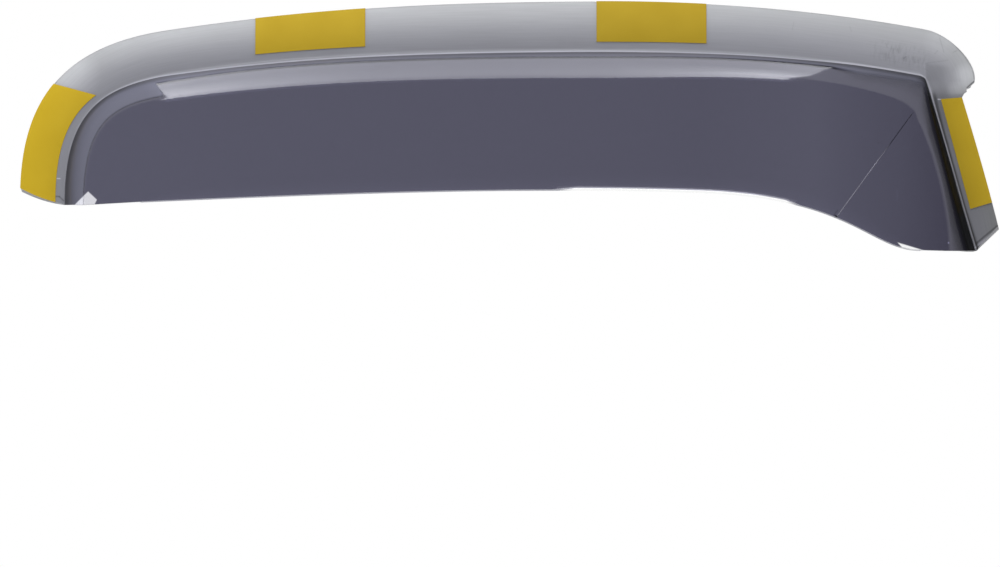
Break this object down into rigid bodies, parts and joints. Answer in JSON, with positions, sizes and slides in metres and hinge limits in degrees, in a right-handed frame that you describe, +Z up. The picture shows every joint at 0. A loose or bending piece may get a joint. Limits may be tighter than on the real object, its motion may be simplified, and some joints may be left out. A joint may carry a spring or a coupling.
{
  "type": "window rain deflector",
  "caption": "Smoked acrylic side window rain deflector: an outward visor with a bonding flange round its top and sides, and foam tape pads under peel-off liners.",
  "frame": {"origin": "middle of the front side pad's bonding face", "axes": "+X towards the front of the vehicle, +Y inwards to the cab, +Z up"},
  "size_m": [0.7833, 0.0371, 0.2007],
  "materials": {
    "smoked_acrylic": "gloss, see-through smoke tint",
    "foam_tape": "matte",
    "yellow_liner": "satin"
  },
  "bodies": {
    "root": {"shield": "smoked_acrylic", "foam_rear_side": "foam_tape", "foam_rear_top": "foam_tape", "foam_front_top": "foam_tape", "foam_front_side": "foam_tape", "liner_rear_side": "yellow_liner", "liner_rear_top": "yellow_liner", "liner_front_top": "yellow_liner", "liner_front_side": "yellow_liner"}
  },
  "joints": []
}
